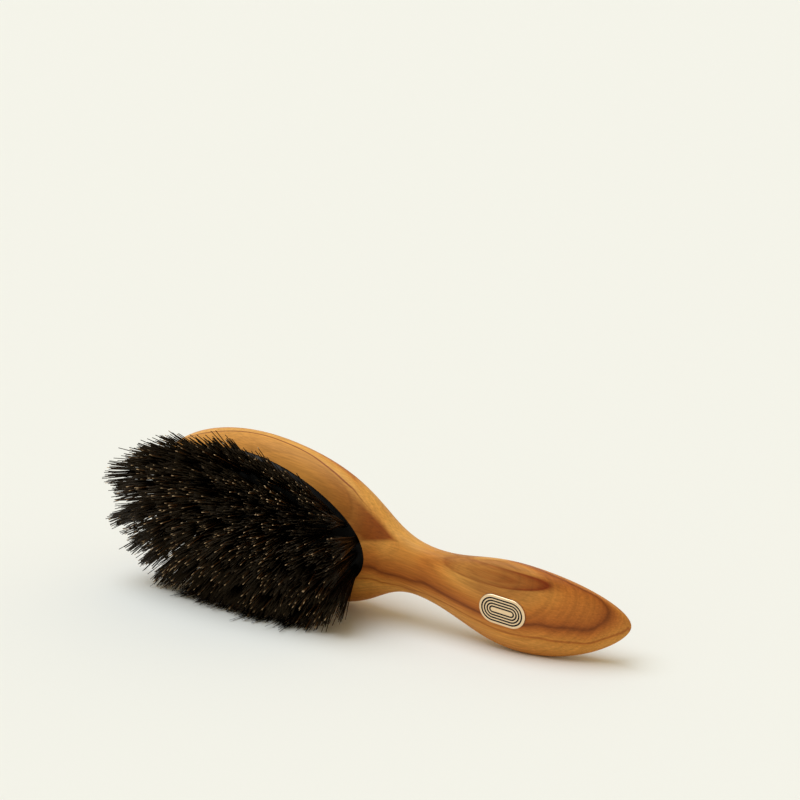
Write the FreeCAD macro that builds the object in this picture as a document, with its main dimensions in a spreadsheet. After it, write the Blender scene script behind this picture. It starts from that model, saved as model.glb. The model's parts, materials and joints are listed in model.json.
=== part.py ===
import FreeCAD, Part
import Sketcher
import math
import os

# A wooden hair brush with a rubber air cushion, lying on its long edge with the bristles towards -Y.
# Every piece is drawn in the brush's own frame: X runs from the nose of the head to the tail of the handle,
# Y across the head, and Z out of the face that the bristles stand on, with Z = 0 at the rim of that face.
# One resting placement, worked out from the places that touch the floor, then lays them all down together.

Vector = FreeCAD.Vector
doc = FreeCAD.newDocument("hair_brush")
sheet = doc.addObject("Spreadsheet::Sheet", "sizes")

driving_sizes = (
    # wooden body, seen from the bristle side
    ("brush_length", 215.0),
    ("head_centre", "=brush_length * 0.3153"),
    ("head_width", 60.4),
    ("neck_centre", "=brush_length * 0.6326"),
    ("neck_width", 20.3),
    ("grip_centre", "=brush_length * 0.8233"),
    ("grip_width", 33.8),
    ("nose_rise", 13.8),
    ("nose_run", "=head_centre * 0.469"),
    ("head_run", "=(neck_centre - head_centre) * 0.71"),
    ("neck_run", "=(neck_centre - head_centre) * 0.349"),
    ("throat_run", "=(grip_centre - neck_centre) * 0.3854"),
    ("grip_run", "=(brush_length - grip_centre) * 0.605"),
    ("tail_rise", 6.0),
    # wooden body, seen from its edge: the level of the widest line, and the wood in front of and behind it
    ("nose_level", -11.6),
    ("head_level", -8.4),
    ("neck_level", -3.4),
    ("grip_level", -3.3),
    ("tail_level", -17.0),
    ("head_front", 13.6),
    ("neck_front", 5.0),
    ("grip_front", 5.6),
    ("head_back", 10.0),
    ("neck_back", 8.5),
    ("grip_back", 10.8),
    ("nose_face_rise", 12.0),
    ("nose_face_run", "=head_centre * 0.177"),
    # recess in the head, and the undercut groove for the cushion's lip
    ("recess_centre", "=brush_length * 0.2884"),
    ("recess_length", "=brush_length * 0.4744"),
    ("rim_width", 6.2),
    ("recess_width", "=head_width - 2 * rim_width"),
    ("recess_floor", -8.5),
    ("groove_top", -4.6),
    ("groove_depth", 1.6),
    # rubber cushion
    ("cushion_clearance", 0.15),
    ("cushion_wall", 1.6),
    ("cushion_shoulder", -1.0),
    ("cushion_crown", 5.5),
    ("lip_thickness", 1.6),
    # bristle tufts and the wire collars at their feet
    ("tuft_rows", 17.0),
    ("tuft_pitch", 5.2),
    ("field_length", "=recess_length - 6"),
    ("field_width", "=recess_width - 11.8"),
    ("row_margin", 2.4),
    ("row_pitch", "=(field_length - 2 * row_margin) / (tuft_rows - 1)"),
    ("tuft_foot_diameter", 2.5),
    ("tuft_tip_diameter", 3.6),
    ("tuft_length", 25.0),
    ("foot_length", 1.9),
    ("hole_clearance", 0.05),
    ("binding_wall", 0.5),
    ("binding_height", 1.2),
    ("binding_gap", 0.6),
    # metal plate on the handle
    ("plate_centre", "=grip_centre - 3"),
    ("plate_length", 18.4),
    ("plate_width", 11.2),
    ("plate_thickness", 1.2),
    ("plate_proud", 0.25),
    ("plate_clearance", 0.1),
    ("plate_edge_round", 0.35),
    ("plate_rim", 0.95),
    ("line_count", 4.0),
    ("line_width", 0.62),
    ("line_pitch", 1.08),
    ("line_depth", 0.4),
    ("enamel_clearance", 0.02),
    ("adhesive_thickness", 0.2),
)
for row, (alias, value) in enumerate(driving_sizes, start=1):
    sheet.set(f"A{row}", alias)
    sheet.set(f"B{row}", str(value))
    sheet.setAlias(f"B{row}", alias)
doc.recompute()


def size(alias):
    return float(sheet.get(alias))


# Outlines of the wooden body. Each runs along X through the nose, head, neck, grip and tail,
# as four curves that are level at the head, neck and grip and upright at both ends.
def outline(head, neck, grip, nose_rise, nose_run, tail_rise):
    length = size("brush_length")
    head_x = size("head_centre")
    neck_x = size("neck_centre")
    grip_x = size("grip_centre")
    head_run = size("head_run")
    neck_run = size("neck_run")
    throat = size("throat_run")
    spans = (
        ((0, 0), (0, nose_rise), (nose_run, head), (head_x, head)),
        ((head_x, head), (head_x + head_run, head), (neck_x - neck_run, neck), (neck_x, neck)),
        ((neck_x, neck), (neck_x + throat, neck), (grip_x - throat, grip), (grip_x, grip)),
        ((grip_x, grip), (grip_x + size("grip_run"), grip), (length, tail_rise), (length, 0)),
    )
    curves = []
    for span in spans:
        curve = Part.BezierCurve()
        curve.setPoles([Vector(x, height, 0) for x, height in span])
        curves.append(curve)
    return curves


def height_at(curves, x):
    """Height of an outline at a place along the brush, found by halving."""
    curve = next((c for c in curves if c.EndPoint.x >= x), curves[-1])
    low, high = curve.FirstParameter, curve.LastParameter
    for _ in range(50):
        middle = (low + high) / 2
        if curve.value(middle).x < x:
            low = middle
        else:
            high = middle
    return curve.value(middle).y


half_width_line = outline(
    size("head_width") / 2,
    size("neck_width") / 2,
    size("grip_width") / 2,
    size("nose_rise"),
    size("nose_run"),
    size("tail_rise"),
)
tail_slimness = size("tail_rise") / (size("grip_width") / 2)
front_line = outline(
    size("head_front"),
    size("neck_front"),
    size("grip_front"),
    size("nose_face_rise"),
    size("nose_face_run"),
    size("grip_front") * tail_slimness,
)
back_line = outline(
    size("head_back"),
    size("neck_back"),
    size("grip_back"),
    size("nose_face_rise"),
    size("nose_face_run"),
    size("grip_back") * tail_slimness,
)
level_curve = Part.BSplineCurve()
level_curve.interpolate(
    [
        Vector(0, size("nose_level"), 0),
        Vector(size("head_centre"), size("head_level"), 0),
        Vector(size("neck_centre"), size("neck_level"), 0),
        Vector(size("grip_centre"), size("grip_level"), 0),
        Vector(size("brush_length"), size("tail_level"), 0),
    ]
)
level_line = [level_curve]


# Wooden blank: a smooth skin through half-oval sections, close together where the ends round off.
def half_oval(half_width, height, x, level):
    arc = Part.Arc(Vector(0, 1, 0), Vector(0, 0, 1), Vector(0, -1, 0)).toShape()
    stretch = FreeCAD.Matrix()
    stretch.scale(1, half_width, height)
    stretch.move(Vector(x, 0, level))
    return arc.transformGeometry(stretch)


def section(x):
    half_width = height_at(half_width_line, x)
    level = height_at(level_line, x)
    front = half_oval(half_width, height_at(front_line, x), x, level)
    back = half_oval(half_width, -height_at(back_line, x), x, level)
    return Part.Wire([front, back.reversed()])


# Each end closes in a tiny flat, part of one step in from the point where the outline would close.
steps_in_span = (10, 8, 5, 10)
end_flat_share = 0.4
first_x = half_width_line[0].value(end_flat_share / steps_in_span[0]).x
last_x = half_width_line[-1].value(1 - end_flat_share / steps_in_span[-1]).x
stations = [first_x]
for curve, steps in zip(half_width_line, steps_in_span):
    stations += [curve.value(step / steps).x for step in range(1, steps + 1)]
stations[-1] = last_x

blank = doc.addObject("Part::Feature", "wooden_blank")
blank.Shape = Part.makeLoft([section(x) for x in stations], True)


# Upright ovals and domes, concentric with the recess, are used for the recess and for the cushion.
def oval_block(name, grow, bottom, top):
    rim = doc.addObject("Part::Ellipse", f"{name}_rim")
    rim.setExpression("MajorRadius", f"sizes.recess_length / 2 + ({grow})")
    rim.setExpression("MinorRadius", f"sizes.recess_width / 2 + ({grow})")
    rim.setExpression("Placement.Base.x", "sizes.recess_centre")
    rim.setExpression("Placement.Base.z", bottom)
    block = doc.addObject("Part::Extrusion", name)
    block.Base = rim
    block.DirMode = "Custom"
    block.Dir = Vector(0, 0, 1)
    block.Solid = True
    block.setExpression("LengthFwd", f"({top}) - ({bottom})")
    return block


def half_dome(name, grow, shoulder, crown):
    dome = doc.addObject("Part::Ellipsoid", name)
    dome.setExpression("Radius1", f"({crown}) - ({shoulder})")
    dome.setExpression("Radius2", f"sizes.recess_length / 2 + ({grow})")
    dome.setExpression("Radius3", f"sizes.recess_width / 2 + ({grow})")
    dome.Angle1 = 0
    dome.setExpression("Placement.Base.x", "sizes.recess_centre")
    dome.setExpression("Placement.Base.z", shoulder)
    return dome


def joined(name, pieces):
    fuse = doc.addObject("Part::MultiFuse", name)
    fuse.Shapes = pieces
    return fuse


def less(name, base, tool):
    cut = doc.addObject("Part::Cut", name)
    cut.Base = base
    cut.Tool = tool
    return cut


lip_bottom = "sizes.groove_top - sizes.lip_thickness"
above_wood = "sizes.head_level + 2 * sizes.head_front"
recess_pieces = [
    oval_block("recess", "0", "sizes.recess_floor", above_wood),
    oval_block(
        "lip_groove",
        "sizes.groove_depth",
        f"{lip_bottom} - 2 * sizes.cushion_clearance",
        "sizes.groove_top",
    ),
]

# Stadium outlines, for the plate, its seat and the lines on it.
def add_stadium(sketch, length, width):
    """Adds one stadium about the sketch's origin; length and width are expressions on the sheet.

    It is drawn at a starting size, which the constraints then replace.
    """
    radius = 1.0
    reach = 2.0
    upward = Vector(0, 0, 1)
    right_circle = Part.Circle(Vector(reach, 0, 0), upward, radius)
    left_circle = Part.Circle(Vector(-reach, 0, 0), upward, radius)
    right = sketch.addGeometry(Part.ArcOfCircle(right_circle, -math.pi / 2, math.pi / 2))
    top = sketch.addGeometry(Part.LineSegment(Vector(reach, radius, 0), Vector(-reach, radius, 0)))
    left = sketch.addGeometry(Part.ArcOfCircle(left_circle, math.pi / 2, 3 * math.pi / 2))
    bottom = sketch.addGeometry(Part.LineSegment(Vector(-reach, -radius, 0), Vector(reach, -radius, 0)))
    for before, after in ((right, top), (top, left), (left, bottom), (bottom, right)):
        sketch.addConstraint(Sketcher.Constraint("Tangent", before, 2, after, 1))
    sketch.addConstraint(Sketcher.Constraint("Symmetric", left, 3, right, 3, -1, 1))
    sketch.addConstraint(Sketcher.Constraint("PointOnObject", right, 3, -1))
    sketch.addConstraint(Sketcher.Constraint("Equal", right, left))
    round_end = sketch.addConstraint(Sketcher.Constraint("Radius", right, radius))
    straight = sketch.addConstraint(Sketcher.Constraint("DistanceX", left, 3, right, 3, 2 * reach))
    sketch.setExpression(f"Constraints[{round_end}]", f"({width}) / 2")
    sketch.setExpression(f"Constraints[{straight}]", f"({length}) - ({width})")


def new_sketch(body, name, height):
    """A sketch on the body's own ground plane, raised to a height given as an expression."""
    ground = next(f for f in body.Origin.OriginFeatures if f.Role == "XY_Plane")
    sketch = body.newObject("Sketcher::SketchObject", name)
    sketch.AttachmentSupport = [(ground, "")]
    sketch.MapMode = "FlatFace"
    sketch.setExpression("AttachmentOffset.Base.z", height)
    return sketch


def pad(body, name, sketch, length):
    feature = body.newObject("PartDesign::Pad", name)
    feature.Profile = sketch
    feature.setExpression("Length", length)
    return feature


def stadium_pad(name, inset, bottom, height):
    """A body that is one padded stadium, drawn in from the plate's outline by an inset."""
    body = doc.addObject("PartDesign::Body", name)
    sketch = new_sketch(body, f"{name}_outline", bottom)
    add_stadium(sketch, f"sizes.plate_length - 2 * ({inset})", f"sizes.plate_width - 2 * ({inset})")
    pad(body, f"{name}_pad", sketch, height)
    return body


# Each line on the plate is the band between two stadiums, the same for the groove and for its filling.
line_count = int(size("line_count"))
line_insets = [f"sizes.plate_rim + {number} * sizes.line_pitch" for number in range(line_count)]


def add_line_bands(sketch, slack):
    for inset in line_insets:
        for edge in (f"{inset} + {slack}", f"{inset} + sizes.line_width - {slack}"):
            add_stadium(sketch, f"sizes.plate_length - 2 * ({edge})", f"sizes.plate_width - 2 * ({edge})")


# The plate's own frame has its ground on the seat's floor in the wood, with the adhesive directly on it.
plate_bottom = "sizes.adhesive_thickness"
plate_top = "sizes.adhesive_thickness + sizes.plate_thickness"
line_bottom = f"{plate_top} - sizes.line_depth"

plate = stadium_pad("handle_plate", "0", plate_bottom, "sizes.plate_thickness")
groove_sketch = new_sketch(plate, "plate_lines", plate_top)
add_line_bands(groove_sketch, "0")
grooves = plate.newObject("PartDesign::Pocket", "plate_grooves")
grooves.Profile = groove_sketch
grooves.setExpression("Length", "sizes.line_depth")
doc.recompute()
plate_round = plate.newObject("PartDesign::Fillet", "plate_edge")
top_height = size("adhesive_thickness") + size("plate_thickness")
plate_half_length = size("plate_length") / 2
plate_half_width = size("plate_width") / 2


def on_outer_top_edge(edge):
    nearly = 1e-4
    box = edge.BoundBox
    level = abs(box.ZMin - top_height) < nearly and abs(box.ZMax - top_height) < nearly
    outer = max(abs(box.YMin), abs(box.YMax)) > plate_half_width - nearly
    return level and outer


outer_edges = [
    f"Edge{number}"
    for number, edge in enumerate(grooves.Shape.Edges, start=1)
    if on_outer_top_edge(edge)
]
plate_round.Base = (grooves, outer_edges)
plate_round.setExpression("Radius", "sizes.plate_edge_round")

enamel = doc.addObject("PartDesign::Body", "plate_enamel")
enamel_sketch = new_sketch(enamel, "enamel_lines", line_bottom)
add_line_bands(enamel_sketch, "sizes.enamel_clearance")
pad(enamel, "enamel_fill", enamel_sketch, "sizes.line_depth")

adhesive = stadium_pad("plate_adhesive", "sizes.plate_rim", "0", "sizes.adhesive_thickness")

# Seat for the plate: a shallow stadium pocket whose floor follows the slope of the handle's front.
seat = stadium_pad("plate_seat", "-sizes.plate_clearance", "0", "2 * sizes.grip_front")


def front_height(x):
    return height_at(level_line, x) + height_at(front_line, x)


plate_x = size("plate_centre")
front_ends = [front_height(plate_x + side * plate_half_length) for side in (-1, 1)]
slope = (front_ends[1] - front_ends[0]) / size("plate_length")
plate_turn = FreeCAD.Rotation(Vector(0, 1, 0), -math.degrees(math.atan(slope)))
plate_outward = plate_turn.multVec(Vector(0, 0, 1))
seat_depth = top_height - size("plate_proud")
plate_place = FreeCAD.Placement(
    Vector(plate_x, 0, front_height(plate_x)) - plate_outward * seat_depth,
    plate_turn,
)
seat.Placement = plate_place

cutters = joined("body_cutters", recess_pieces + [seat])
wooden_body = less("wooden_body", blank, cutters)

# Bristle tufts stand square on the cushion's dome, in rows across the head that reach to an oval edge.
dome_half_length = size("recess_length") / 2 - size("cushion_clearance")
dome_half_width = size("recess_width") / 2 - size("cushion_clearance")
dome_height = size("cushion_crown") - size("cushion_shoulder")
foot_depth = size("cushion_wall") + size("foot_length")


def dome_point(x, y):
    """Point and outward direction on the cushion's outer skin, x and y from the recess's centre."""
    share = 1 - (x / dome_half_length) ** 2 - (y / dome_half_width) ** 2
    rise = dome_height * math.sqrt(share)
    point = Vector(size("recess_centre") + x, y, size("cushion_shoulder") + rise)
    outward = Vector(x / dome_half_length**2, y / dome_half_width**2, rise / dome_height**2)
    return point, outward.normalize()


# Rows have an even and an odd number of gaps in turn, so that each row stands between its neighbours' tufts.
row_count = int(size("tuft_rows"))
tuft_places = []
for row in range(row_count):
    x = (row - (row_count - 1) / 2) * size("row_pitch")
    reach = size("field_width") / 2 * math.sqrt(1 - (2 * x / size("field_length")) ** 2)
    odd_row = row % 2
    gaps = 2 * round((2 * reach / size("tuft_pitch") - odd_row) / 2) + odd_row
    gaps = max(gaps, 2 - odd_row)
    tuft_places.append([dome_point(x, reach * (2 * gap / gaps - 1)) for gap in range(gaps + 1)])


def tuft(point, outward):
    foot_radius = size("tuft_foot_diameter") / 2
    tip_radius = size("tuft_tip_diameter") / 2
    foot = Part.makeCylinder(foot_radius, foot_depth, point - outward * foot_depth, outward)
    bundle = Part.makeCone(foot_radius, tip_radius, size("tuft_length"), point, outward)
    return foot.fuse(bundle).removeSplitter()


def binding(point, outward):
    bore = size("tuft_foot_diameter") / 2 + size("hole_clearance")
    drop = size("cushion_wall") + size("binding_gap") + size("binding_height")
    base = point - outward * drop
    collar = Part.makeCylinder(bore + size("binding_wall"), size("binding_height"), base, outward)
    return collar.cut(Part.makeCylinder(bore, size("binding_height"), base, outward))


tuft_nodes = []
for number, places in enumerate(tuft_places, start=1):
    row_node = doc.addObject("Part::Feature", f"tuft_row_{number:02d}")
    row_node.Shape = Part.makeCompound([tuft(point, outward) for point, outward in places])
    tuft_nodes.append(row_node)
all_places = [place for places in tuft_places for place in places]
bindings = doc.addObject("Part::Feature", "tuft_bindings")
bindings.Shape = Part.makeCompound([binding(point, outward) for point, outward in all_places])

# Rubber cushion: a hollow dome on an upright skirt, with a lip that snaps into the wood's groove.
skin = "-sizes.cushion_clearance"
inner_skin = "-sizes.cushion_clearance - sizes.cushion_wall"
lip_reach = "sizes.groove_depth - sizes.cushion_clearance"
lip_level = f"{lip_bottom} - sizes.cushion_clearance"
lip_top = "sizes.groove_top - sizes.cushion_clearance"
cushion_outside = joined(
    "cushion_outside",
    [
        half_dome("cushion_dome", skin, "sizes.cushion_shoulder", "sizes.cushion_crown"),
        oval_block("cushion_skirt", skin, lip_level, "sizes.cushion_shoulder"),
        oval_block("cushion_lip", lip_reach, lip_level, lip_top),
    ],
)
cushion_inside = joined(
    "cushion_inside",
    [
        half_dome(
            "air_dome",
            inner_skin,
            "sizes.cushion_shoulder",
            "sizes.cushion_crown - sizes.cushion_wall",
        ),
        oval_block("air_skirt", inner_skin, lip_level, "sizes.cushion_shoulder"),
    ],
)
hollow_cushion = less("hollow_cushion", cushion_outside, cushion_inside)
hole_radius = size("tuft_foot_diameter") / 2 + size("hole_clearance")
hole_reach = 2 * size("cushion_wall")
tuft_holes = doc.addObject("Part::Feature", "tuft_holes")
tuft_holes.Shape = Part.makeCompound(
    [
        Part.makeCylinder(hole_radius, 2 * hole_reach, point - outward * hole_reach, outward)
        for point, outward in all_places
    ]
)
cushion = less("cushion", hollow_cushion, tuft_holes)
doc.recompute()


# Resting placement: the floor touches the head's edge, the grip's edge and the lowest tuft tips.
def edge_points(from_x, to_x):
    samples = 120
    places = [from_x + (to_x - from_x) * number / samples for number in range(samples + 1)]
    return [Vector(x, -height_at(half_width_line, x), height_at(level_line, x)) for x in places]


def tip_rim(point, outward):
    """Lowest point of a tuft's end, on its side towards the floor."""
    tip = point + outward * size("tuft_length")
    downward = Vector(0, -1, 0) + outward * outward.y
    return tip + downward.normalize() * (size("tuft_tip_diameter") / 2)


head_edge = edge_points(first_x, size("neck_centre"))
grip_edge = edge_points(size("neck_centre"), last_x)
tips = [tip_rim(point, outward) for point, outward in all_places]
upward = Vector(0, 1, 0)
settling_rounds = 12
for _ in range(settling_rounds):
    head_touch, grip_touch, tip_touch = (
        min(points, key=lambda point: point.dot(upward)) for points in (head_edge, grip_edge, tips)
    )
    upward = (tip_touch - head_touch).cross(grip_touch - head_touch).normalize()
lengthwise = (Vector(1, 0, 0) - upward * upward.x).normalize()
resting_turn = FreeCAD.Rotation(lengthwise, upward.cross(lengthwise), upward, "ZXY").inverted()
resting = FreeCAD.Placement(Vector(0, 0, 0), resting_turn)

shaped_nodes = [wooden_body, cushion, bindings] + tuft_nodes
turned = Part.makeCompound([node.Shape for node in shaped_nodes]).transformed(resting.toMatrix())
extent = turned.optimalBoundingBox(False, False)
resting.Base = Vector(-extent.Center.x, -extent.Center.y, -extent.ZMin)

for node in shaped_nodes:
    node.Placement = resting
plate_nodes = [plate, enamel, adhesive]
for node in plate_nodes:
    node.Placement = resting.multiply(plate_place)
doc.recompute()

nodes = shaped_nodes + plate_nodes
for item in doc.Objects:
    if "Invalid" in item.State or "Error" in item.State:
        raise RuntimeError(f"{item.Name} failed: {item.State}")
for node in nodes:
    if node.Shape.isNull() or not node.Shape.isValid():
        raise RuntimeError(f"{node.Label} has no valid shape")

os.makedirs("parts", exist_ok=True)
for node in nodes:
    node.Shape.exportStep(f"parts/{node.Label}.step")
print("resting place", resting)
for node in nodes:
    print(node.Label, len(node.Shape.Solids), "solids", round(node.Shape.Volume, 2), "mm3")
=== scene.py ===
import json
import math
import random

import bmesh
import bpy
from mathutils import Euler, Matrix, Vector


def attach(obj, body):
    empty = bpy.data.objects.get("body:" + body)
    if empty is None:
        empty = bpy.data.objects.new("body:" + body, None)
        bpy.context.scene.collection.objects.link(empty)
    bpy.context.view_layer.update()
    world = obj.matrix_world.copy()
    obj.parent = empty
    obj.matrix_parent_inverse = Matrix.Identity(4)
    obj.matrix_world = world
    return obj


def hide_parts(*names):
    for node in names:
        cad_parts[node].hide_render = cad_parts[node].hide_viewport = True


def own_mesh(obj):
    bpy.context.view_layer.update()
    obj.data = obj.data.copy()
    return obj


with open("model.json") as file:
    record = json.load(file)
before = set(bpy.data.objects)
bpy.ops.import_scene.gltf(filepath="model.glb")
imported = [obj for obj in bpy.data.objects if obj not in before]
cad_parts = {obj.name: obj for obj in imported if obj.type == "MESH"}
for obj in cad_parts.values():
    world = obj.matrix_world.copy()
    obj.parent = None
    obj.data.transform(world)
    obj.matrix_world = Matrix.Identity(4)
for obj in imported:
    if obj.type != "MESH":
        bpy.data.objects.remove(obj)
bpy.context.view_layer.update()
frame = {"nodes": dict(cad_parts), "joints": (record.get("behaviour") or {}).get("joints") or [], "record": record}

# The brush lies on its long edge. Its own frame has X from the nose of the head to the tail of the handle,
# Y across the head, and Z out of the face that the bristles stand on, with Z = 0 at the rim of that face.
# The record's hand grip and press direction say how that frame lies in the part.
grip = frame["record"]["mounts"][0]
press = frame["joints"][0]
grip_from_nose = 0.177
grip_behind_rim = 0.005
lengthwise = Vector(grip["axis"]).normalized()
outward = -Vector(press["axis"]).normalized()
across = outward.cross(lengthwise).normalized()
nose = Vector(grip["pos_m"]) - lengthwise * grip_from_nose + outward * grip_behind_rim
brush_turn = Matrix((lengthwise, across, outward)).transposed()
brush_to_part = Matrix.Translation(nose) @ brush_turn.to_4x4()

# Wooden body: head, neck and handle carved from one piece of olive wood, sanded smooth and oiled.
# The growth layers lean across the face, so they come out as long loops on its upper half
# and as close lines along its lower edge.
brush_length = 0.215
millimetres = 1000


def linear(code):
    """A colour socket's value for an sRGB hex code."""
    shares = [int(code[start : start + 2], 16) / 255 for start in (1, 3, 5)]
    return [s / 12.92 if s <= 0.04045 else ((s + 0.055) / 1.055) ** 2.4 for s in shares] + [1.0]


def add_node(material, kind, inputs=None, **settings):
    """Adds one shader node; inputs gives each socket a value or the output that feeds it."""
    node = material.node_tree.nodes.new(kind)
    for name, value in settings.items():
        setattr(node, name, value)
    for socket, value in (inputs or {}).items():
        if isinstance(value, bpy.types.NodeSocket):
            material.node_tree.links.new(value, node.inputs[socket])
        else:
            node.inputs[socket].default_value = value
    return node


def new_material(name, **surface):
    """A material whose surface has constant values, and the shader that further nodes feed."""
    material = bpy.data.materials.new(name)
    material.use_nodes = True
    shader = material.node_tree.nodes["Principled BSDF"]
    for socket, value in surface.items():
        shader.inputs[socket.replace("_", " ")].default_value = value
    return material, shader


olive_wood, wood_surface = new_material("oiled_olive_wood", Specular_IOR_Level=0.14)
in_part = add_node(olive_wood, "ShaderNodeTexCoord").outputs["Object"]
to_brush = brush_turn.transposed()
in_brush = add_node(
    olive_wood,
    "ShaderNodeMapping",
    {
        "Vector": in_part,
        "Location": -millimetres * (to_brush @ nose),
        "Rotation": to_brush.to_euler("XYZ"),
        "Scale": (millimetres, millimetres, millimetres),
    },
).outputs["Vector"]
place = add_node(olive_wood, "ShaderNodeSeparateXYZ", {"Vector": in_brush})

# The layers wander by a quarter of a millimetre, over a length of seven centimetres and a width of three.
wander_grain = add_node(
    olive_wood,
    "ShaderNodeMapping",
    {"Vector": in_brush, "Scale": (1 / 70, 1 / 30, 1 / 30)},
)
wander_noise = add_node(
    olive_wood,
    "ShaderNodeTexNoise",
    {"Vector": wander_grain.outputs["Vector"], "Scale": 1.0, "Detail": 2.0},
)
wander = add_node(
    olive_wood,
    "ShaderNodeMapRange",
    {"Value": wander_noise.outputs["Fac"], "To Min": -0.25, "To Max": 0.25},
)
along = add_node(
    olive_wood,
    "ShaderNodeMath",
    {0: place.outputs["X"], 1: millimetres * brush_length},
    operation="DIVIDE",
)

# Two dark layers give the figure its lines: one runs as a streak from the cushion past the plate
# to the tail, the other as a thin line round the head's upper rim to the shoulder.
# Each pair is a distance from the nose and what is found there, in millimetres: the streak's level,
# the gap between the two layers, the width of a band of colour, or the level below which the layers
# run straight down the sides.
streak_levels = (
    (0, -10.0), (28, -3.3), (54, -0.2), (78, 2.1), (94, 3.2), (109, 2.8), (115, 2.3), (122, 0.4),
    (130, 0.0), (140, 1.25), (154, 1.5), (166, 1.2), (185, 0.0), (192, -1.8), (198, -4.1),
    (204, -7.4), (209, -9.8), (215, -14.0),
)
rim_gaps = (
    (0, 5.0), (28, 5.5), (94, 5.5), (104, 4.9), (110, 3.8), (116, 2.6), (124, 2.0), (215, 2.0),
)
band_widths = ((0, 4.2), (95, 4.2), (115, 5.6), (135, 5.6), (155, 4.2), (215, 4.2))
side_levels = (
    (0, -16.0), (94, -8.0), (104, -4.0), (112, -1.5), (122, -0.5), (138, 0.3), (160, -0.5),
    (180, -8.0), (215, -16.0),
)
curves = []
for levels, lowest, highest in (
    (streak_levels, -16.0, 8.0),
    (rim_gaps, 0.0, 8.0),
    (band_widths, 0.0, 8.0),
    (side_levels, -16.0, 8.0),
):
    curve = add_node(olive_wood, "ShaderNodeFloatCurve", {"Value": along.outputs["Value"]})
    points = curve.mapping.curves[0].points
    while len(points) < len(levels):
        points.new(0.5, 0.5)
    for point, (station, level) in zip(points, levels):
        point.location = (station / (millimetres * brush_length), (level - lowest) / (highest - lowest))
        point.handle_type = "AUTO_CLAMPED"
    curve.mapping.update()
    level_here = add_node(
        olive_wood,
        "ShaderNodeMapRange",
        {"Value": curve.outputs["Value"], "To Min": lowest, "To Max": highest},
    )
    curves.append(level_here.outputs["Result"])
streak_level, rim_gap, band_width, side_level = curves

# The layers lean across the face, and lie flatter towards the tail.
lean = add_node(
    olive_wood,
    "ShaderNodeMapRange",
    {"Value": place.outputs["X"], "From Min": 165.0, "From Max": 195.0, "To Min": 0.45, "To Max": 0.3},
)
leaning = add_node(
    olive_wood,
    "ShaderNodeMath",
    {0: place.outputs["Y"], 1: lean.outputs["Result"], 2: place.outputs["Z"]},
    operation="MULTIPLY_ADD",
)
layer = add_node(
    olive_wood,
    "ShaderNodeMath",
    {0: leaning.outputs["Value"], 1: wander.outputs["Result"]},
    operation="ADD",
)
above_streak = add_node(
    olive_wood,
    "ShaderNodeMath",
    {0: layer.outputs["Value"], 1: streak_level},
    operation="SUBTRACT",
)
side_depth = add_node(
    olive_wood,
    "ShaderNodeMath",
    {0: side_level, 1: place.outputs["Z"]},
    operation="SUBTRACT",
)
side_lift = add_node(
    olive_wood,
    "ShaderNodeMath",
    {0: side_depth.outputs["Value"], 1: 0.0},
    operation="MAXIMUM",
)
turned = add_node(
    olive_wood,
    "ShaderNodeMath",
    {0: above_streak.outputs["Value"], 1: side_lift.outputs["Value"]},
    operation="ADD",
)
growth = add_node(
    olive_wood,
    "ShaderNodeMath",
    {0: turned.outputs["Value"], 1: band_width},
    operation="DIVIDE",
)

# Each colour stands at so many bands above or below the streak, which is the darkest.
first_growth = -3.0
last_growth = 2.2
growth_share = add_node(
    olive_wood,
    "ShaderNodeMapRange",
    {"Value": growth.outputs["Value"], "From Min": first_growth, "From Max": last_growth},
)
layer_colours = (
    (-3.0, "#C27C32"), (-1.7, "#C88236"), (-0.9, "#D49444"), (-0.64, "#CE8A3A"), (-0.55, "#A86024"),
    (-0.47, "#CC883A"), (-0.22, "#BC722E"), (-0.12, "#AA6024"), (0.0, "#7C4014"), (0.1, "#A65C22"),
    (0.22, "#B26828"), (0.42, "#BE742E"), (0.55, "#CA8438"), (0.65, "#D08E40"), (0.85, "#DEA24E"),
    (1.25, "#E2A852"), (1.4, "#D69844"), (2.2, "#CE8E3E"),
)
layers = add_node(olive_wood, "ShaderNodeValToRGB", {"Fac": growth_share.outputs["Result"]})

# Under the rim's line the shoulder is dark between two straight edges that meet in a point on the neck.
# Each edge is given by its slope, and its height over the brush's middle line at the nose, in millimetres.
lower_slope = 0.22
lower_height = -17.55
upper_slope = -0.63
upper_height = 88.5
point_roundness = 0.4
rim_roundness = 0.6
edge_wander = 3.0
above_rim = add_node(
    olive_wood,
    "ShaderNodeMath",
    {0: above_streak.outputs["Value"], 1: rim_gap},
    operation="SUBTRACT",
)
lower_edge = add_node(
    olive_wood,
    "ShaderNodeMath",
    {0: place.outputs["X"], 1: lower_slope, 2: lower_height},
    operation="MULTIPLY_ADD",
)
above_lower = add_node(
    olive_wood,
    "ShaderNodeMath",
    {0: place.outputs["Y"], 1: lower_edge.outputs["Value"]},
    operation="SUBTRACT",
)
upper_edge = add_node(
    olive_wood,
    "ShaderNodeMath",
    {0: place.outputs["X"], 1: upper_slope, 2: upper_height},
    operation="MULTIPLY_ADD",
)
below_upper = add_node(
    olive_wood,
    "ShaderNodeMath",
    {0: upper_edge.outputs["Value"], 1: place.outputs["Y"]},
    operation="SUBTRACT",
)
between_edges = add_node(
    olive_wood,
    "ShaderNodeMath",
    {0: below_upper.outputs["Value"], 1: above_lower.outputs["Value"], 2: point_roundness},
    operation="SMOOTH_MIN",
)
uneven_edges = add_node(
    olive_wood,
    "ShaderNodeMath",
    {0: wander.outputs["Result"], 1: edge_wander, 2: between_edges.outputs["Value"]},
    operation="MULTIPLY_ADD",
)
inside_shoulder = add_node(
    olive_wood,
    "ShaderNodeMath",
    {0: above_rim.outputs["Value"], 1: uneven_edges.outputs["Value"], 2: rim_roundness},
    operation="SMOOTH_MIN",
)
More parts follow.
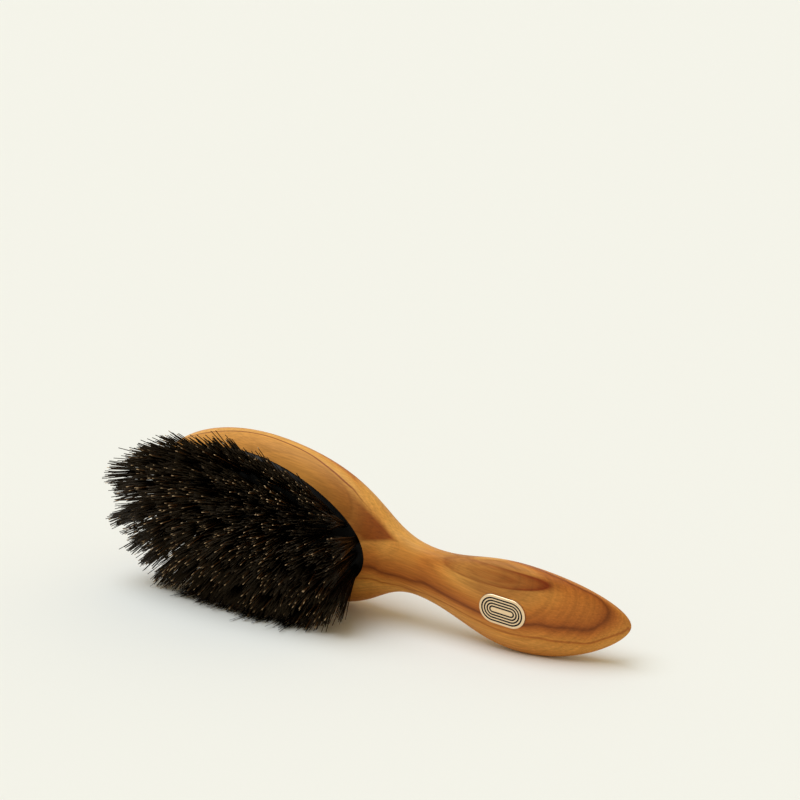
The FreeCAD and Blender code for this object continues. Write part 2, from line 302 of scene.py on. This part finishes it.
shoulder_edge = add_node(
    olive_wood,
    "ShaderNodeMapRange",
    {"Value": inside_shoulder.outputs["Value"], "From Min": -0.4, "From Max": 1.2},
)
shoulder_stretch = add_node(
    olive_wood,
    "ShaderNodeMapRange",
    {"Value": place.outputs["X"], "From Min": 80.0, "From Max": 112.0, "To Min": 0.0, "To Max": 0.88},
)
shoulder_dark = add_node(
    olive_wood,
    "ShaderNodeMath",
    {0: shoulder_edge.outputs["Result"], 1: shoulder_stretch.outputs["Result"]},
    operation="MULTIPLY",
)

# The rim's line is the edge of that shape, half a millimetre wide, and fades from the shoulder to the neck.
from_edge = add_node(
    olive_wood,
    "ShaderNodeMath",
    {0: inside_shoulder.outputs["Value"]},
    operation="ABSOLUTE",
)
line_edge = add_node(
    olive_wood,
    "ShaderNodeMapRange",
    {
        "Value": from_edge.outputs["Value"],
        "From Min": 0.08,
        "From Max": 0.32,
        "To Min": 1.0,
        "To Max": 0.0,
    },
)
line_stretch = add_node(
    olive_wood,
    "ShaderNodeMapRange",
    {"Value": place.outputs["X"], "From Min": 100.0, "From Max": 118.0, "To Min": 0.9, "To Max": 0.0},
)
rim_line = add_node(
    olive_wood,
    "ShaderNodeMath",
    {0: line_edge.outputs["Result"], 1: line_stretch.outputs["Result"]},
    operation="MULTIPLY",
)

# The grip's heart is browner than its edges, and one long closed loop lies in it, darkest at its tail end.
# The loop is shallow: it comes out on the front and fades round the edge, before the back.
loop_wander = 0.9
loop_reach = 1.3
heart_depth = add_node(
    olive_wood,
    "ShaderNodeMapRange",
    {"Value": above_streak.outputs["Value"], "From Min": 2.3, "From Max": 3.7, "To Max": 0.55},
)
heart_stretch = add_node(
    olive_wood,
    "ShaderNodeMapRange",
    {"Value": place.outputs["X"], "From Min": 150.0, "From Max": 164.0},
)
heart = add_node(
    olive_wood,
    "ShaderNodeMath",
    {0: heart_depth.outputs["Result"], 1: heart_stretch.outputs["Result"]},
    operation="MULTIPLY",
)
loop_place = add_node(
    olive_wood,
    "ShaderNodeMapping",
    {
        "Vector": in_brush,
        "Location": (167.9, 11.5, 0.0),
        "Rotation": (0.0, 0.0, math.radians(4.5)),
        "Scale": (22.3, 3.3, 1000.0),
    },
    vector_type="TEXTURE",
)
loop_distance = add_node(
    olive_wood,
    "ShaderNodeVectorMath",
    {0: loop_place.outputs["Vector"]},
    operation="LENGTH",
)
uneven_loop = add_node(
    olive_wood,
    "ShaderNodeMath",
    {0: wander.outputs["Result"], 1: loop_wander, 2: loop_distance.outputs["Value"]},
    operation="MULTIPLY_ADD",
)
loop_share = add_node(
    olive_wood,
    "ShaderNodeMath",
    {0: uneven_loop.outputs["Value"], 1: loop_reach},
    operation="DIVIDE",
)
loop_shades = (
    (0.0, "#ECECEC"), (0.35, "#F6F6F6"), (0.55, "#E4E4E4"), (0.8, "#F0F0F0"), (0.94, "#FFFFFF"),
    (1.04, "#B0B0B0"), (loop_reach, "#000000"),
)
loop_shade = add_node(olive_wood, "ShaderNodeValToRGB", {"Fac": loop_share.outputs["Value"]})
loop_along = add_node(olive_wood, "ShaderNodeSeparateXYZ", {"Vector": loop_place.outputs["Vector"]})
loop_stretch = add_node(
    olive_wood,
    "ShaderNodeMapRange",
    {"Value": loop_along.outputs["X"], "From Min": -0.6, "From Max": 0.6, "To Min": 0.64, "To Max": 1.02},
)
loop_depth = add_node(
    olive_wood,
    "ShaderNodeMapRange",
    {"Value": place.outputs["Z"], "From Min": -9.0, "From Max": -4.5},
)
loop_fade = add_node(
    olive_wood,
    "ShaderNodeMath",
    {0: loop_stretch.outputs["Result"], 1: loop_depth.outputs["Result"]},
    operation="MULTIPLY",
)
loop_dark = add_node(
    olive_wood,
    "ShaderNodeMath",
    {0: loop_shade.outputs["Color"], 1: loop_fade.outputs["Value"]},
    operation="MULTIPLY",
)
for ramp, first, last, colours in (
    (layers, first_growth, last_growth, layer_colours),
    (loop_shade, 0.0, loop_reach, loop_shades),
):
    stops = ramp.color_ramp.elements
    while len(stops) < len(colours):
        stops.new(1.0)
    for stop, (level, code) in zip(stops, colours):
        stop.position = (level - first) / (last - first)
        stop.color = linear(code)
figure_dark = heart
for shape in (shoulder_dark, rim_line, loop_dark):
    figure_dark = add_node(
        olive_wood,
        "ShaderNodeMath",
        {0: figure_dark.outputs["Value"], 1: shape.outputs["Value"]},
        operation="MAXIMUM",
    )
figured = add_node(
    olive_wood,
    "ShaderNodeMix",
    {"Factor": figure_dark.outputs["Value"], "A": layers.outputs["Color"], "B": linear("#9A6242")},
    data_type="RGBA",
    blend_type="MULTIPLY",
)

# Fine growth lines lie under a millimetre apart. Fibres run along the brush, 11 mm long and drawn
# 0.6 mm wide, coarser than real ones, so that they show. The oil leaves a low sheen that varies with them.
line_place = add_node(
    olive_wood,
    "ShaderNodeCombineXYZ",
    {"X": along.outputs["Value"], "Y": layer.outputs["Value"], "Z": 0.0},
)
fine_lines = add_node(
    olive_wood,
    "ShaderNodeTexNoise",
    {"Vector": line_place.outputs["Vector"], "Scale": 1.3, "Detail": 3.0, "Roughness": 0.6},
)
fibre_grain = add_node(olive_wood, "ShaderNodeMapping", {"Vector": in_brush, "Scale": (1 / 11, 1.7, 1.7)})
fibres = add_node(
    olive_wood,
    "ShaderNodeTexNoise",
    {"Vector": fibre_grain.outputs["Vector"], "Scale": 1.0, "Detail": 3.0, "Roughness": 0.6},
)
line_tone = add_node(
    olive_wood,
    "ShaderNodeMapRange",
    {"Value": fine_lines.outputs["Fac"], "From Min": 0.3, "From Max": 0.7, "To Min": 0.82, "To Max": 1.06},
)
fibre_tone = add_node(
    olive_wood,
    "ShaderNodeMapRange",
    {"Value": fibres.outputs["Fac"], "From Min": 0.3, "From Max": 0.7, "To Min": 0.82, "To Max": 1.14},
)
tone = add_node(
    olive_wood,
    "ShaderNodeMath",
    {0: line_tone.outputs["Result"], 1: fibre_tone.outputs["Result"]},
    operation="MULTIPLY",
)
wood_colour = add_node(
    olive_wood,
    "ShaderNodeMix",
    {"Factor": 1.0, "A": figured.outputs["Result"], "B": tone.outputs["Value"]},
    data_type="RGBA",
    blend_type="MULTIPLY",
)
wood_polish = add_node(
    olive_wood,
    "ShaderNodeMapRange",
    {"Value": fibres.outputs["Fac"], "From Min": 0.3, "From Max": 0.7, "To Min": 0.52, "To Max": 0.4},
)
wood_relief = add_node(
    olive_wood,
    "ShaderNodeBump",
    {"Height": fibres.outputs["Fac"], "Strength": 0.15, "Distance": 0.0001},
)
for socket, output in (
    ("Base Color", wood_colour.outputs["Result"]),
    ("Roughness", wood_polish.outputs["Result"]),
    ("Normal", wood_relief.outputs["Normal"]),
):
    olive_wood.node_tree.links.new(output, wood_surface.inputs[socket])


def finish_node(name, material):
    """Gives a CAD node that keeps its shape a new finish."""
    mesh = frame["nodes"][name].data
    mesh.materials.clear()
    mesh.materials.append(material)


finish_node("wooden_body", olive_wood)

# Cushion: one domed membrane of moulded black rubber, with air under it. Its lip is snapped into a groove
# in the wood. It gives as the bristles are pressed, but is drawn here at rest.
recess_centre = 0.062
dome_half_length = 0.05085
dome_half_width = 0.02385
shoulder = -0.001
crown = 0.0055
dome_height = crown - shoulder
skirt_depth = 0.0053
lip_reach = 0.0016
lip_height = 0.0016
rubber_wall = 0.0016

dome = bmesh.new()
bmesh.ops.create_uvsphere(dome, u_segments=96, v_segments=40, radius=1.0)
bmesh.ops.bisect_plane(
    dome,
    geom=dome.verts[:] + dome.edges[:] + dome.faces[:],
    dist=1e-6,
    plane_co=(0, 0, 0),
    plane_no=(0, 0, 1),
    clear_inner=True,
)
bmesh.ops.scale(dome, vec=(dome_half_length, dome_half_width, dome_height), verts=dome.verts)

# From the dome's rim the skirt goes straight down, and the lip goes out and then down.
straight = Vector((1, 1, 1))
wider = Vector((1 + lip_reach / dome_half_length, 1 + lip_reach / dome_half_width, 1))
skirt_steps = (
    (straight, lip_height - skirt_depth),
    (wider, 0.0),
    (straight, -lip_height),
)
for spread, drop in skirt_steps:
    rim = [edge for edge in dome.edges if edge.is_boundary]
    grown = bmesh.ops.extrude_edge_only(dome, edges=rim)
    fresh = [item for item in grown["geom"] if isinstance(item, bmesh.types.BMVert)]
    bmesh.ops.scale(dome, vec=spread, verts=fresh)
    bmesh.ops.translate(dome, vec=(0, 0, drop), verts=fresh)
bmesh.ops.recalc_face_normals(dome, faces=dome.faces)
bmesh.ops.solidify(dome, geom=dome.faces[:], thickness=rubber_wall)
bmesh.ops.translate(dome, vec=(recess_centre, 0, shoulder), verts=dome.verts)
bmesh.ops.transform(dome, matrix=brush_to_part, verts=dome.verts)


def new_piece(name, shape, material):
    """Turns a finished bmesh into a smooth-shaded object at the origin."""
    for face in shape.faces:
        face.smooth = True
    mesh = bpy.data.meshes.new(name)
    shape.to_mesh(mesh)
    shape.free()
    mesh.materials.append(material)
    piece = bpy.data.objects.new(name, mesh)
    bpy.context.scene.collection.objects.link(piece)
    return piece


# The mould leaves a skin with a grain of about a millimetre, so the rubber's gloss is dull and uneven.
rubber, rubber_surface = new_material(
    "moulded_black_rubber",
    Base_Color=linear("#0B0A08"),
    Specular_IOR_Level=0.18,
)
rubber_skin = add_node(
    rubber,
    "ShaderNodeTexNoise",
    {"Vector": add_node(rubber, "ShaderNodeTexCoord").outputs["Object"], "Scale": 900.0, "Detail": 3.0},
)
rubber_polish = add_node(
    rubber,
    "ShaderNodeMapRange",
    {"Value": rubber_skin.outputs["Fac"], "From Min": 0.3, "From Max": 0.7, "To Min": 0.5, "To Max": 0.64},
)
rubber_relief = add_node(
    rubber,
    "ShaderNodeBump",
    {"Height": rubber_skin.outputs["Fac"], "Strength": 0.1, "Distance": 0.0001},
)
rubber.node_tree.links.new(rubber_polish.outputs["Result"], rubber_surface.inputs["Roughness"])
rubber.node_tree.links.new(rubber_relief.outputs["Normal"], rubber_surface.inputs["Normal"])

air_cushion = new_piece("air_cushion", dome, rubber)
air_cushion.data.set_sharp_from_angle(angle=math.radians(40))
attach(air_cushion, "brush_body")
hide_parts("cushion")
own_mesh(air_cushion)

# Bristles: tufts of stiff black boar bristle, each pulled through a hole in the rubber, in staggered rows.
# They splay out to all sides and are cut to uneven lengths. One bristle in eight is browner, and its end
# is painted pale: a painted glint of the light that catches the tips. Each is drawn about twice as thick
# as a real one, so that it shows.
row_count = 17
field_length = 0.096
field_width = 0.0362
row_margin = 0.0024
row_pitch = (field_length - 2 * row_margin) / (row_count - 1)
tuft_pitch = 0.0052
tuft_radius = 0.00115
strands_in_tuft = 60
strand_length = 0.0278
root_radius = 0.00027
tip_radius = 0.00016
sunk_root = 0.0012
bend_places = (0.4, 0.75)

# The pattern of a bristle is one unit long and three-sided, with two more rings at which it can bend.
strand = bmesh.new()
bmesh.ops.create_cone(
    strand,
    cap_ends=True,
    segments=3,
    radius1=root_radius,
    radius2=tip_radius,
    depth=1.0,
)
bmesh.ops.translate(strand, vec=(0, 0, 0.5), verts=strand.verts)
for share in bend_places:
    bmesh.ops.bisect_plane(
        strand,
        geom=strand.verts[:] + strand.edges[:] + strand.faces[:],
        plane_co=(0, 0, share),
        plane_no=(0, 0, 1),
    )
tip_share = strand.verts.layers.float.new("tip_share")
strand.verts.layers.float.new("strand_tone")
for vert in strand.verts:
    vert[tip_share] = vert.co.z
strand_mesh = bpy.data.meshes.new("strand")
strand.to_mesh(strand_mesh)
strand.free()
strand_points = len(strand_mesh.vertices)

# Boar bristle is waxy, which gives each one a narrow, warm glint along it.
bristle, bristle_surface = new_material(
    "black_boar_bristle",
    Roughness=0.32,
    Specular_IOR_Level=0.23,
    Specular_Tint=linear("#E8C89C"),
)
tip_here = add_node(bristle, "ShaderNodeAttribute", attribute_name="tip_share")
tone_here = add_node(bristle, "ShaderNodeAttribute", attribute_name="strand_tone")
tip_reach = add_node(
    bristle,
    "ShaderNodeMapRange",
    {"Value": tip_here.outputs["Fac"], "From Min": 0.955, "From Max": 0.985},
)
# The pale end of each browner bristle is a painted glint of light on its tip, not a colour of its own.
painted_tip_glint = add_node(
    bristle,
    "ShaderNodeMath",
    {0: tip_reach.outputs["Result"], 1: tone_here.outputs["Fac"]},
    operation="MULTIPLY",
)
strand_colour = add_node(
    bristle,
    "ShaderNodeMix",
    {"Factor": tone_here.outputs["Fac"], "A": linear("#130D06"), "B": linear("#57371A")},
    data_type="RGBA",
)
bristle_colour = add_node(
    bristle,
    "ShaderNodeMix",
    {"Factor": painted_tip_glint.outputs["Value"], "A": strand_colour.outputs["Result"], "B": linear("#E0C298")},
    data_type="RGBA",
)
bristle.node_tree.links.new(bristle_colour.outputs["Result"], bristle_surface.inputs["Base Color"])

# The slopes at which the outermost tufts lean, and the shares by which the upper and lower ones lean more
# or less than that towards the neck and the nose.
fan = {"nose": 0.5, "neck": 0.35, "upper": 0.95, "lower": 0.85}
neck_fan = {"upper": 0.2, "lower": -0.3}
nose_fan = {"upper": -0.5, "lower": 0.0}
most_fan = 1.1

# The bristles of a tuft keep together in clumps that part from each other as they rise.
clumps_in_tuft = 7
scatter = 0.085
flare = 0.05
stray = 0.022
curl = 0.0008
clump_lengths = (0.9, 1.05)
cut_lengths = (0.92, 1.02)
# Share of bristles that are browner, with a painted glint on their ends.
pale_tips = 0.12

# What the brush lies on holds up the lowest tufts. Their ends bend and slide along it in a low pile.
most_press = 0.004
lift_step = 0.95
floor_gap = 0.00025
pile_height = 0.0014
most_slide = 1.2
random.seed(7)


def add_strand(row, foot, lean_x, lean_y, reach):
    """Adds one bristle of a tuft to a row's mesh."""
    turn = random.uniform(0, 2 * math.pi)
    spread = math.sqrt(random.random())
    aside = Vector((math.cos(turn), math.sin(turn), 0)) * spread
    direction = Vector((lean_x, lean_y, 1)) + aside * flare
    direction += Vector((random.gauss(0, stray), random.gauss(0, stray), 0))
    length = strand_length * reach * random.uniform(*cut_lengths)
    bend = brush_turn @ Vector((random.gauss(0, curl), random.gauss(0, curl), 0))
    aim = direction.to_track_quat("Z", "Y").to_matrix().to_4x4()
    stand = Matrix.Translation(foot + aside * tuft_radius) @ aim
    stretch = Matrix.Diagonal((1, 1, length + sunk_root, 1))
    row.from_mesh(strand_mesh)
    row.verts.ensure_lookup_table()
    fresh = row.verts[-strand_points:]
    bmesh.ops.transform(row, matrix=brush_to_part @ stand @ stretch, verts=fresh)
    share_layer = row.verts.layers.float["tip_share"]
    tone_layer = row.verts.layers.float["strand_tone"]
    tone = random.random() if random.random() < pale_tips else 0.0
    pile = random.uniform(floor_gap, pile_height)
    along_floor = brush_turn @ direction
    along_floor.z = 0
    along_floor = along_floor.normalized() * random.uniform(0.0, most_slide)
    for vert in fresh:
        vert.co += bend * vert[share_layer] ** 2
        sunk = pile - vert.co.z
        if sunk > 0:
            vert.co += along_floor * sunk
            vert.co.z = pile
        vert[tone_layer] = tone


for row_number in range(row_count):
    x = (row_number - (row_count - 1) / 2) * row_pitch
    half_row = field_width / 2 * math.sqrt(1 - (2 * x / field_length) ** 2)
    odd_row = row_number % 2
    gaps = 2 * round((2 * half_row / tuft_pitch - odd_row) / 2) + odd_row
    row = bmesh.new()
    for gap in range(gaps + 1):
        y = half_row * (2 * gap / gaps - 1)
        rise = dome_height * math.sqrt(1 - (x / dome_half_length) ** 2 - (y / dome_half_width) ** 2)
        lean_x = x / dome_half_length * (fan["nose"] if x < 0 else fan["neck"])
        side = "upper" if y > 0 else "lower"
        end_fan = neck_fan if x > 0 else nose_fan
        lean_y = y / (field_width / 2) * fan[side] * (1 + end_fan[side] * abs(x) / dome_half_length)
        steepness = math.hypot(lean_x, lean_y)
        if steepness > most_fan:
            lean_x *= most_fan / steepness
            lean_y *= most_fan / steepness
        foot = Vector((recess_centre + x, y, shoulder + rise))
        stance = Vector((lean_x, lean_y, 1)).normalized()
        while (brush_to_part @ (foot + stance * strand_length)).z < -most_press:
            lean_y *= lift_step
            stance = Vector((lean_x, lean_y, 1)).normalized()
        foot -= stance * sunk_root
        clumps = []
        for _ in range(clumps_in_tuft):
            clump_x = random.gauss(lean_x, scatter)
            clump_y = random.gauss(lean_y, scatter)
            clumps.append((clump_x, clump_y, random.uniform(*clump_lengths)))
        for _ in range(strands_in_tuft):
            add_strand(row, foot, *random.choice(clumps))
    row_name = f"bristle_row_{row_number + 1:02d}"
    bristle_row = new_piece(row_name, row, bristle)
    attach(bristle_row, "bristle_field")
    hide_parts(f"tuft_row_{row_number + 1:02d}")
bpy.data.meshes.remove(strand_mesh)

# Tuft bindings: collars of drawn brass wire, one round each tuft's foot, under the rubber. They keep
# the tufts from being pulled out through their holes. Drawing marks, 0.4 mm wide, break up the wire's gloss.
drawn_wire, wire_surface = new_material("drawn_brass_wire", Base_Color=linear("#B08A4E"), Metallic=1.0)
wire_marks = add_node(
    drawn_wire,
    "ShaderNodeTexNoise",
    {"Vector": add_node(drawn_wire, "ShaderNodeTexCoord").outputs["Object"], "Scale": 2500.0},
)
wire_polish = add_node(
    drawn_wire,
    "ShaderNodeMapRange",
    {"Value": wire_marks.outputs["Fac"], "To Min": 0.25, "To Max": 0.45},
)
drawn_wire.node_tree.links.new(wire_polish.outputs["Result"], wire_surface.inputs["Roughness"])
finish_node("tuft_bindings", drawn_wire)

# Plate: a stadium-shaped badge stamped from brass and plated in pale gold, let into the handle's front.
# Its satin face is brushed along its length, which spreads the reflections across it. The marks are 6 mm
# long and drawn 0.15 mm wide, coarser than real ones, so that they show.
plated_brass, plate_surface = new_material("satin_pale_gold_plate", Metallic=1.0)
plate_place = add_node(
    plated_brass,
    "ShaderNodeMapping",
    {
        "Vector": add_node(plated_brass, "ShaderNodeTexCoord").outputs["Object"],
        "Rotation": to_brush.to_euler("XYZ"),
        "Scale": (millimetres, millimetres, millimetres),
    },
)
brush_marks = add_node(
    plated_brass,
    "ShaderNodeMapping",
    {"Vector": plate_place.outputs["Vector"], "Scale": (1 / 6, 1 / 0.15, 1 / 0.15)},
)
brushing = add_node(
    plated_brass,
    "ShaderNodeTexNoise",
    {"Vector": brush_marks.outputs["Vector"], "Scale": 1.0, "Detail": 2.0},
)
plate_polish = add_node(
    plated_brass,
    "ShaderNodeMapRange",
    {"Value": brushing.outputs["Fac"], "From Min": 0.3, "From Max": 0.7, "To Min": 0.3, "To Max": 0.48},
)
plate_tint = add_node(
    plated_brass,
    "ShaderNodeMix",
    {"Factor": brushing.outputs["Fac"], "A": linear("#E6C79C"), "B": linear("#F2D9B4")},
    data_type="RGBA",
)
plated_brass.node_tree.links.new(plate_polish.outputs["Result"], plate_surface.inputs["Roughness"])
plated_brass.node_tree.links.new(plate_tint.outputs["Result"], plate_surface.inputs["Base Color"])
finish_node("handle_plate", plated_brass)

# Enamel: black glassy filling, fired into the plate's grooves and rubbed level with its face.
# The rubbing leaves ripples just under a millimetre wide, so its gloss comes and goes along the lines.
black_enamel, enamel_surface = new_material(
    "fired_black_enamel",
    Base_Color=linear("#0E0B0A"),
    Specular_IOR_Level=0.2,
)
enamel_ripple = add_node(
    black_enamel,
    "ShaderNodeTexNoise",
    {"Vector": add_node(black_enamel, "ShaderNodeTexCoord").outputs["Object"], "Scale": 1200.0},
)
enamel_polish = add_node(
    black_enamel,
    "ShaderNodeMapRange",
    {"Value": enamel_ripple.outputs["Fac"], "To Min": 0.12, "To Max": 0.32},
)
black_enamel.node_tree.links.new(enamel_polish.outputs["Result"], enamel_surface.inputs["Roughness"])
finish_node("plate_enamel", black_enamel)

# Adhesive: a thin film of clear glue, cured between the plate and its seat in the wood.
# It is a little cloudy, in patches under two millimetres wide, and doesn't show from outside.
cured_glue, glue_surface = new_material("cured_clear_adhesive", Roughness=0.4)
glue_cloud = add_node(
    cured_glue,
    "ShaderNodeTexNoise",
    {"Vector": add_node(cured_glue, "ShaderNodeTexCoord").outputs["Object"], "Scale": 600.0},
)
glue_tint = add_node(
    cured_glue,
    "ShaderNodeMix",
    {"Factor": glue_cloud.outputs["Fac"], "A": linear("#B9A988"), "B": linear("#CDBFA2")},
    data_type="RGBA",
)
cured_glue.node_tree.links.new(glue_tint.outputs["Result"], glue_surface.inputs["Base Color"])
finish_node("plate_adhesive", cured_glue)

# Floor: a wide sheet of pale cream card that the brush lies on.
# It is matt, so it keeps the brush's soft shadow and mirrors nothing.
floor_reach = 15.0
ground = bmesh.new()
bmesh.ops.create_grid(ground, x_segments=1, y_segments=1, size=floor_reach)
cream_card, _ = new_material(
    "cream_card",
    Base_Color=linear("#EBEFEA"),
    Roughness=0.9,
    Specular_IOR_Level=0.1,
)
floor = new_piece("floor", ground, cream_card)

# Light: an even, warm surround, and one broad soft lamp high above, a little towards the nose and
# the front. The camera and the reflections see the pale background in place of the surround.
studio = bpy.data.worlds.new("pale_studio")
bpy.context.scene.world = studio
studio.use_nodes = True
studio.node_tree.nodes.clear()
surround = add_node(studio, "ShaderNodeBackground", {"Color": linear("#FFEAC4"), "Strength": 0.55})
shown = add_node(studio, "ShaderNodeBackground", {"Color": linear("#F2F2E8"), "Strength": 1.0})
ray = add_node(studio, "ShaderNodeLightPath")
mirrored = add_node(
    studio,
    "ShaderNodeMath",
    {0: ray.outputs["Is Glossy Ray"], 1: ray.outputs["Is Transmission Ray"]},
    operation="MAXIMUM",
)
seen = add_node(
    studio,
    "ShaderNodeMath",
    {0: ray.outputs["Is Camera Ray"], 1: mirrored.outputs["Value"]},
    operation="MAXIMUM",
)
either = add_node(
    studio,
    "ShaderNodeMixShader",
    {0: seen.outputs["Value"], 1: surround.outputs["Background"], 2: shown.outputs["Background"]},
)
add_node(studio, "ShaderNodeOutputWorld", {"Surface": either.outputs["Shader"]})

lamp_from = Vector((-0.3, -0.22, 0.93)).normalized()
lamp = bpy.data.objects.new("soft_lamp", bpy.data.lights.new("soft_lamp", "SUN"))
lamp.data.energy = 2.32
lamp.data.color = linear("#E6EFFF")[:3]
lamp.data.angle = math.radians(55)
lamp.rotation_euler = lamp_from.to_track_quat("Z", "Y").to_euler()
bpy.context.scene.collection.objects.link(lamp)

# Camera: from the handle's end of the bristle side, a little above the brush.
# It aims above the brush, which so lies low in the picture.
azimuth = math.radians(36.58)
elevation = math.radians(13.75)
aim = Vector((0.0312, -0.0114, 0.0911))
distance = 0.6907
view_level = Vector((math.sin(azimuth), -math.cos(azimuth), 0)) * math.cos(elevation)
toward_camera = view_level + Vector((0, 0, math.sin(elevation)))
camera = bpy.data.objects.new("camera", bpy.data.cameras.new("camera"))
camera.data.sensor_width = 36.0
camera.data.lens = 89.33
camera.data.clip_end = 100.0
camera.location = aim + toward_camera * distance
camera.rotation_euler = Euler((math.pi / 2 - elevation, 0, azimuth))
bpy.context.scene.collection.objects.link(camera)
bpy.context.scene.camera = camera

bpy.context.scene.view_settings.view_transform = "Standard"
